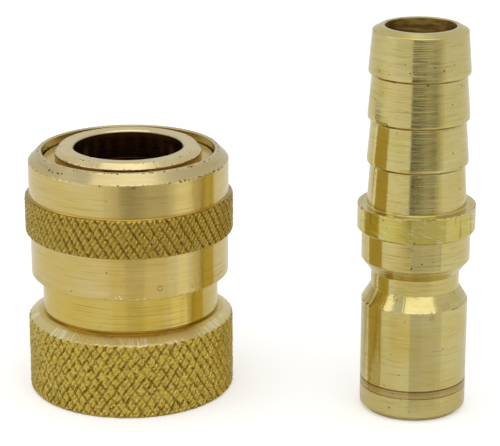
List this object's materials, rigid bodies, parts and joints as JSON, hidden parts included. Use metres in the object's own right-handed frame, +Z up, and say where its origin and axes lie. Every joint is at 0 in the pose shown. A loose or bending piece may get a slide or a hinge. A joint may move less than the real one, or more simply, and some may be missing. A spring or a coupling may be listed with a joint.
{
  "type": "quick disconnect coupler",
  "caption": "Brass ball-lock quick disconnect coupler, uncoupled: a socket with pull-back sleeve and hose-thread base, beside its plug with a barbed hose tail.",
  "frame": {"origin": "centre of the socket's bottom face, on the axis of its thread and bore", "axes": "+Z up the socket's axis, out of its mouth; +X towards the plug, which stands beside the socket"},
  "size_m": [0.0669, 0.0333, 0.058],
  "materials": {
    "brass_base": "knurled",
    "brass_body": "turned",
    "brass_sleeve": "turned, knurled band",
    "brass_ring": "satin",
    "brass_plug": "turned",
    "ball_steel": "polished",
    "spring_steel": "drawn wire",
    "rubber_seal": "smooth",
    "rubber_washer": "moulded"
  },
  "bodies": {
    "socket": {"socket_body": "brass_body", "end_adapter": "brass_base", "nose_seal": "rubber_seal", "hose_washer": "rubber_washer", "retaining_ring": "brass_ring"},
    "spring": {"sleeve_spring": "spring_steel"},
    "sleeve": {"release_sleeve": "brass_sleeve"},
    "ball_1": {"lock_ball_1": "ball_steel"},
    "ball_2": {"lock_ball_2": "ball_steel"},
    "ball_3": {"lock_ball_3": "ball_steel"},
    "ball_4": {"lock_ball_4": "ball_steel"},
    "ball_5": {"lock_ball_5": "ball_steel"},
    "ball_6": {"lock_ball_6": "ball_steel"},
    "ball_7": {"lock_ball_7": "ball_steel"},
    "ball_8": {"lock_ball_8": "ball_steel"},
    "plug": {"plug": "brass_plug"}
  },
  "joints": [
    {"name": "sleeve_slide", "type": "slide", "parent": "socket", "child": "spring", "axis": [0, 0, -1], "range_m": [0, 0.005], "stiffness_N_per_m": 2500, "springref_m": -0.004, "deforming": ["sleeve_spring"]},
    {"name": "sleeve_spin", "type": "hinge", "parent": "spring", "child": "sleeve", "pos_m": [0, 0, 0.0278], "axis": [0, 0, 1], "continuous": true},
    {"name": "ball_1_lift", "type": "slide", "parent": "socket", "child": "ball_1", "axis": [0.9239, 0.3827, 0], "range_m": [0, 0.0015]},
    {"name": "ball_2_lift", "type": "slide", "parent": "socket", "child": "ball_2", "axis": [0.3827, 0.9239, 0], "range_m": [0, 0.0015]},
    {"name": "ball_3_lift", "type": "slide", "parent": "socket", "child": "ball_3", "axis": [-0.3827, 0.9239, 0], "range_m": [0, 0.0015]},
    {"name": "ball_4_lift", "type": "slide", "parent": "socket", "child": "ball_4", "axis": [-0.9239, 0.3827, 0], "range_m": [0, 0.0015]},
    {"name": "ball_5_lift", "type": "slide", "parent": "socket", "child": "ball_5", "axis": [-0.9239, -0.3827, 0], "range_m": [0, 0.0015]},
    {"name": "ball_6_lift", "type": "slide", "parent": "socket", "child": "ball_6", "axis": [-0.3827, -0.9239, 0], "range_m": [0, 0.0015]},
    {"name": "ball_7_lift", "type": "slide", "parent": "socket", "child": "ball_7", "axis": [0.3827, -0.9239, 0], "range_m": [0, 0.0015]},
    {"name": "ball_8_lift", "type": "slide", "parent": "socket", "child": "ball_8", "axis": [0.9239, -0.3827, 0], "range_m": [0, 0.0015]},
    {"name": "plug_approach", "type": "slide", "parent": "socket", "child": "plug", "axis": [-0.4375, 0.0925, 0.8945], "range_m": [0, 0.09727]}
  ],
  "couplings": [
    {"joint": "ball_1_lift", "follows": "sleeve_slide", "ratio": 0.3},
    {"joint": "ball_2_lift", "follows": "sleeve_slide", "ratio": 0.3},
    {"joint": "ball_3_lift", "follows": "sleeve_slide", "ratio": 0.3},
    {"joint": "ball_4_lift", "follows": "sleeve_slide", "ratio": 0.3},
    {"joint": "ball_5_lift", "follows": "sleeve_slide", "ratio": 0.3},
    {"joint": "ball_6_lift", "follows": "sleeve_slide", "ratio": 0.3},
    {"joint": "ball_7_lift", "follows": "sleeve_slide", "ratio": 0.3},
    {"joint": "ball_8_lift", "follows": "sleeve_slide", "ratio": 0.3}
  ]
}
